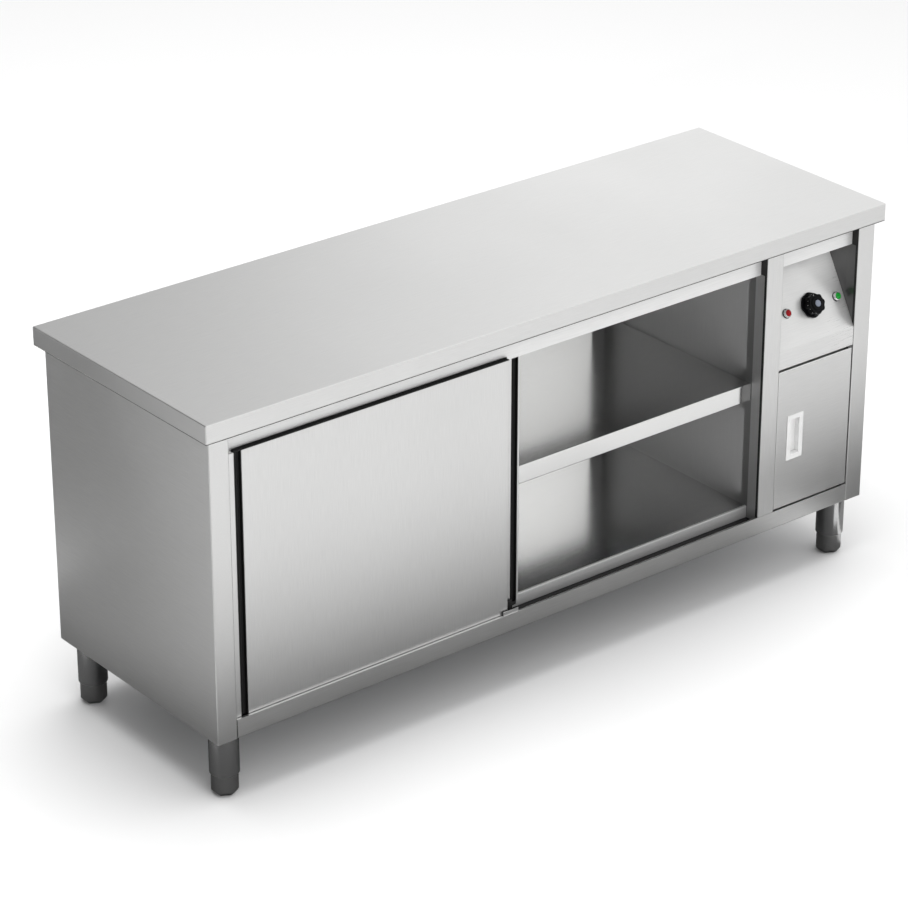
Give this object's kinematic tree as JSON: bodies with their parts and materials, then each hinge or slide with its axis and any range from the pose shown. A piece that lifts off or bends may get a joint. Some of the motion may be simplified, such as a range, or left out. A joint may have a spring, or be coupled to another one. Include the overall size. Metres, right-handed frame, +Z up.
{
  "type": "hot cupboard",
  "caption": "Freestanding stainless hot cupboard with a worktop, two sliding doors, a middle shelf, a slanted control panel over a hinged service door, and adjustable feet.",
  "frame": {"origin": "on the floor, under the middle of the worktop", "axes": "+X along the length towards the control end, the front faces -Y, +Z up"},
  "size_m": [1.8, 0.6, 0.85],
  "materials": {
    "steel": "satin",
    "inner_steel": "satin",
    "galvanised": "matte",
    "dark_steel": "satin",
    "aluminium": "satin",
    "black_plastic": "satin",
    "white_plastic": "satin",
    "mineral_wool": "matte",
    "element_sheath": "matte",
    "red_lens": "gloss",
    "green_lens": "gloss"
  },
  "bodies": {
    "cabinet": {"worktop": "steel", "worktop_bearer_1": "galvanised", "worktop_bearer_2": "galvanised", "left_side_panel": "steel", "right_side_panel": "steel", "divider_post": "steel", "bay_side_wall": "inner_steel", "chamber_liner": "inner_steel", "chamber_floor": "inner_steel", "chamber_ceiling": "inner_steel", "chamber_insulation": "mineral_wool", "supply_gland": "black_plastic", "bottom_rail": "steel", "base_pan": "galvanised", "door_sill": "inner_steel", "sill_riser": "inner_steel", "back_panel": "steel", "top_rail": "steel", "bay_rail": "steel", "door_track": "aluminium", "centre_guide": "steel", "shelf": "steel", "shelf_ledge_left": "galvanised", "shelf_ledge_right": "galvanised", "heating_element_1": "element_sheath", "heating_element_2": "element_sheath", "control_panel": "steel", "pilot_bezel_red": "dark_steel", "pilot_bezel_green": "dark_steel", "pilot_lens_red": "red_lens", "pilot_lens_green": "green_lens", "thermostat_body": "black_plastic", "terminal_block": "white_plastic", "service_pivot_top": "galvanised", "service_pivot_bottom": "galvanised", "service_door_catch": "white_plastic", "leg_1": "steel", "leg_2": "steel", "leg_3": "steel", "leg_4": "steel"},
    "front_door": {"front_door_skin": "steel", "front_door_edge": "steel", "front_door_inner": "inner_steel", "front_door_grip": "black_plastic", "front_door_hanger_1": "galvanised", "front_door_hanger_2": "galvanised"},
    "rear_door": {"rear_door_skin": "steel", "rear_door_edge": "steel", "rear_door_inner": "inner_steel", "rear_door_grip": "black_plastic", "rear_door_hanger_1": "galvanised", "rear_door_hanger_2": "galvanised"},
    "knob": {"thermostat_knob": "black_plastic"},
    "service_door": {"service_door_skin": "steel", "service_door_pan": "inner_steel", "service_door_pull": "white_plastic"},
    "foot_1": {"foot_1": "dark_steel"},
    "foot_2": {"foot_2": "dark_steel"},
    "foot_3": {"foot_3": "dark_steel"},
    "foot_4": {"foot_4": "dark_steel"}
  },
  "joints": [
    {"name": "front_door_slide", "type": "slide", "parent": "cabinet", "child": "front_door", "axis": [1, 0, 0], "range_m": [0, 0.704]},
    {"name": "rear_door_slide", "type": "slide", "parent": "cabinet", "child": "rear_door", "axis": [1, 0, 0], "range_m": [0, 0.661]},
    {"name": "thermostat_turn", "type": "hinge", "parent": "cabinet", "child": "knob", "pos_m": [0.739, -0.24543, 0.63434], "axis": [0, 0.8712, -0.4909], "range_deg": [0, 300]},
    {"name": "service_door_hinge", "type": "hinge", "parent": "cabinet", "child": "service_door", "pos_m": [0.8295, -0.2795, 0.3545], "axis": [0, 0, 1], "range_deg": [0, 105]},
    {"name": "foot_1_adjust", "type": "slide", "parent": "cabinet", "child": "foot_1", "axis": [0, 0, -1], "range_m": [0, 0.03]},
    {"name": "foot_2_adjust", "type": "slide", "parent": "cabinet", "child": "foot_2", "axis": [0, 0, -1], "range_m": [0, 0.03]},
    {"name": "foot_3_adjust", "type": "slide", "parent": "cabinet", "child": "foot_3", "axis": [0, 0, -1], "range_m": [0, 0.03]},
    {"name": "foot_4_adjust", "type": "slide", "parent": "cabinet", "child": "foot_4", "axis": [0, 0, -1], "range_m": [0, 0.03]}
  ]
}
